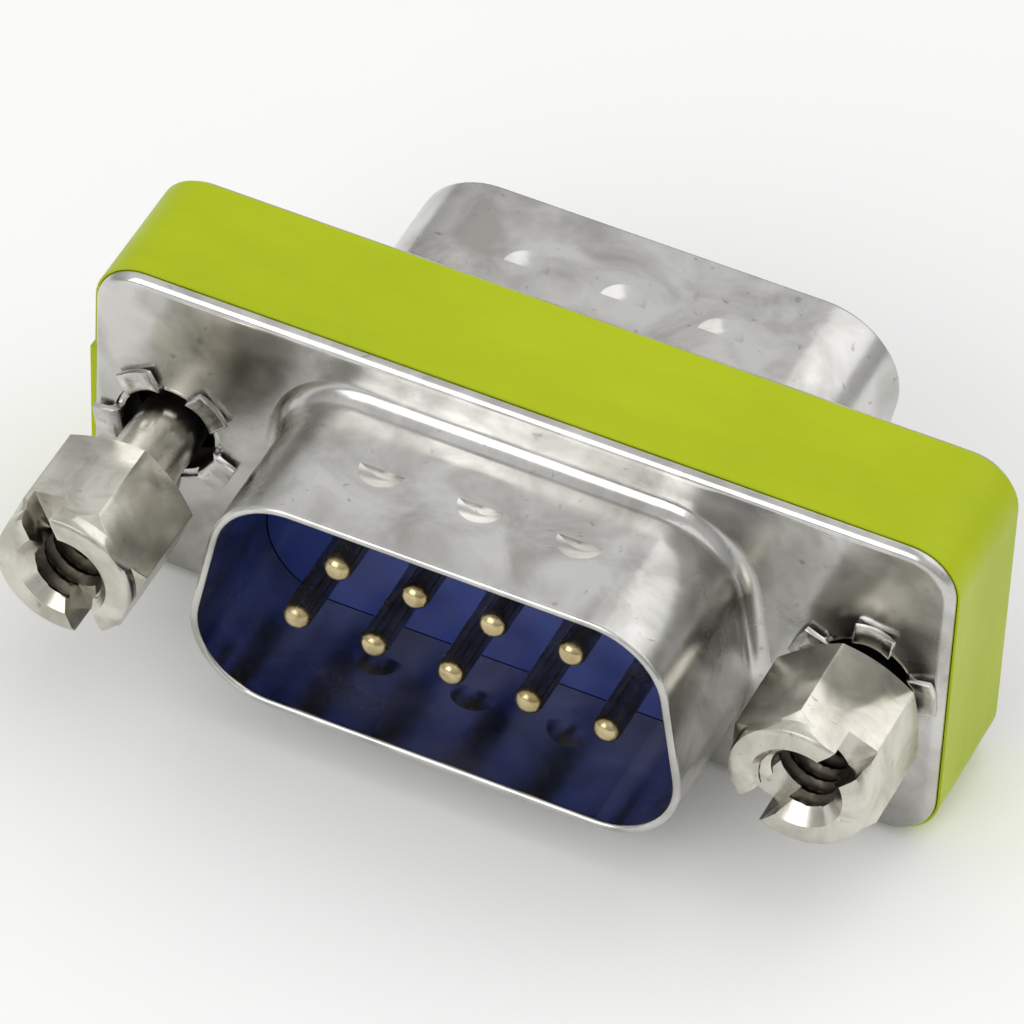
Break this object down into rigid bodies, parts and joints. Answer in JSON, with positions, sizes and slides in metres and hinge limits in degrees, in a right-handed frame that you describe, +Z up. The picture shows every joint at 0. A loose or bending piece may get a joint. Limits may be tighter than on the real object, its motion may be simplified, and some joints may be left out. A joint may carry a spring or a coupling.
{
  "type": "d-sub plug adapter",
  "caption": "Slim D-sub plug-to-plug adapter: a label-wrapped flanged metal body with a D-shaped shroud of pins on each face and captive hexagonal jackscrews.",
  "frame": {"origin": "middle of the front flange's outer face", "axes": "+X along the flange to the right seen from the front, +Y through the adapter from front to rear, +Z up towards the narrow side of the front shroud"},
  "size_m": [0.0309, 0.019, 0.0128],
  "materials": {
    "tinned_steel": "satin",
    "bright_steel": "bright",
    "spring_steel": "satin",
    "nickel_steel": "satin",
    "gold_brass": "polished",
    "blue_plastic": "satin",
    "yellow_vinyl": "satin"
  },
  "bodies": {
    "housing": {"front_shell": "tinned_steel", "rear_shell": "tinned_steel", "front_insulator": "blue_plastic", "rear_insulator": "blue_plastic", "contact_1": "gold_brass", "contact_2": "gold_brass", "contact_3": "gold_brass", "contact_4": "gold_brass", "contact_5": "gold_brass", "contact_6": "gold_brass", "contact_7": "gold_brass", "contact_8": "gold_brass", "contact_9": "gold_brass", "left_eyelet": "bright_steel", "right_eyelet": "bright_steel", "label_band": "yellow_vinyl"},
    "left_ring": {"left_retaining_ring": "spring_steel"},
    "left_screw": {"left_jackscrew": "nickel_steel"},
    "right_ring": {"right_retaining_ring": "spring_steel"},
    "right_screw": {"right_jackscrew": "nickel_steel"}
  },
  "joints": [
    {"name": "left_float", "type": "slide", "parent": "housing", "child": "left_ring", "axis": [0, -1, 0], "range_m": [-0.0029, 0.0003]},
    {"name": "left_spin", "type": "hinge", "parent": "left_ring", "child": "left_screw", "pos_m": [-0.01249, 0, 0], "axis": [0, -1, 0], "continuous": true},
    {"name": "right_float", "type": "slide", "parent": "housing", "child": "right_ring", "axis": [0, -1, 0], "range_m": [-0.0006, 0.0026]},
    {"name": "right_spin", "type": "hinge", "parent": "right_ring", "child": "right_screw", "pos_m": [0.01249, 0, 0], "axis": [0, -1, 0], "continuous": true}
  ]
}
